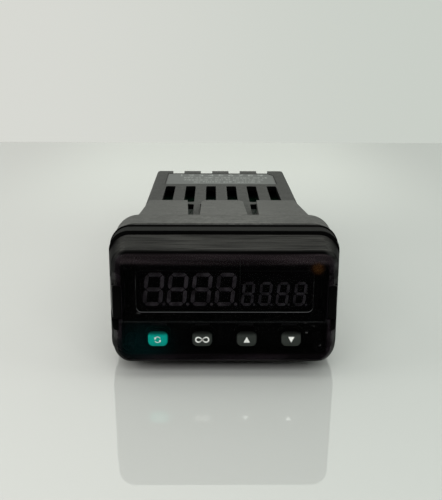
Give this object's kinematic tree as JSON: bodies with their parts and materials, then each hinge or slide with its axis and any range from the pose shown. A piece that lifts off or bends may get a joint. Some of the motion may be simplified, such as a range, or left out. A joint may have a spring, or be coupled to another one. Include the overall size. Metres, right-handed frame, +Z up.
{
  "type": "pid temperature controller",
  "caption": "Panel-mounted 1/32 size temperature controller with smoked face, side latches, sliding collar and rear terminals.",
  "frame": {"origin": "centre of the panel face that the gasket seats on, on the axis of the case", "axes": "+X to the right seen from the front, +Y rearwards into the panel, +Z up"},
  "size_m": [0.0532, 0.1098, 0.032],
  "materials": {
    "case_plastic": "matte",
    "smoked_plastic": "gloss",
    "black_plastic": "satin",
    "rubber": "matte",
    "green_rubber": "satin",
    "grey_rubber": "satin",
    "label_film": "satin",
    "display_body": "satin",
    "display_segment": "gloss",
    "circuit_board": "satin",
    "steel": "satin",
    "brass": "satin",
    "winding": "satin",
    "component_black": "satin",
    "core_iron": "matte",
    "can_aluminium": "satin"
  },
  "bodies": {
    "case": {"case_shell": "case_plastic", "panel_gasket": "rubber", "rating_label": "label_film", "terminal_block_upper": "black_plastic", "terminal_block_lower": "black_plastic", "terminal_screws": "steel", "terminal_clamps": "steel"},
    "collar": {"mounting_collar": "case_plastic"},
    "controller": {"front_cover": "smoked_plastic", "cover_screws": "steel", "chassis_frame": "black_plastic", "bezel_seal": "rubber", "display_board": "circuit_board", "process_display": "display_body", "process_segments": "display_segment", "set_display": "display_body", "set_segments": "display_segment", "key_switches": "component_black", "upper_board": "circuit_board", "lower_board": "circuit_board", "board_pins": "brass", "board_link": "display_body", "transformer_core": "core_iron", "transformer_winding": "winding", "smoothing_capacitors": "can_aluminium", "output_relays": "component_black", "control_chips": "component_black"},
    "left_latch": {"latch_left": "black_plastic"},
    "right_latch": {"latch_right": "black_plastic"},
    "key_advance_body": {"key_advance": "green_rubber"},
    "key_infinity_body": {"key_infinity": "grey_rubber"},
    "key_up_body": {"key_up": "grey_rubber"},
    "key_down_body": {"key_down": "grey_rubber"}
  },
  "joints": [
    {"name": "controller_slide", "type": "slide", "parent": "case", "child": "controller", "axis": [0, -1, 0], "range_m": [0, 0.073]},
    {"name": "collar_slide", "type": "slide", "parent": "case", "child": "collar", "axis": [0, 1, 0], "range_m": [0, 0.086]},
    {"name": "left_latch_press", "type": "slide", "parent": "controller", "child": "left_latch", "axis": [-1, 0, 0], "range_m": [0, 0.001], "stiffness_N_per_m": 1500},
    {"name": "right_latch_press", "type": "slide", "parent": "controller", "child": "right_latch", "axis": [1, 0, 0], "range_m": [0, 0.001], "stiffness_N_per_m": 1500},
    {"name": "key_advance_press", "type": "slide", "parent": "controller", "child": "key_advance_body", "axis": [0, 1, 0], "range_m": [0, 0.0003], "stiffness_N_per_m": 2500},
    {"name": "key_infinity_press", "type": "slide", "parent": "controller", "child": "key_infinity_body", "axis": [0, 1, 0], "range_m": [0, 0.0003], "stiffness_N_per_m": 2500},
    {"name": "key_up_press", "type": "slide", "parent": "controller", "child": "key_up_body", "axis": [0, 1, 0], "range_m": [0, 0.0003], "stiffness_N_per_m": 2500},
    {"name": "key_down_press", "type": "slide", "parent": "controller", "child": "key_down_body", "axis": [0, 1, 0], "range_m": [0, 0.0003], "stiffness_N_per_m": 2500}
  ]
}
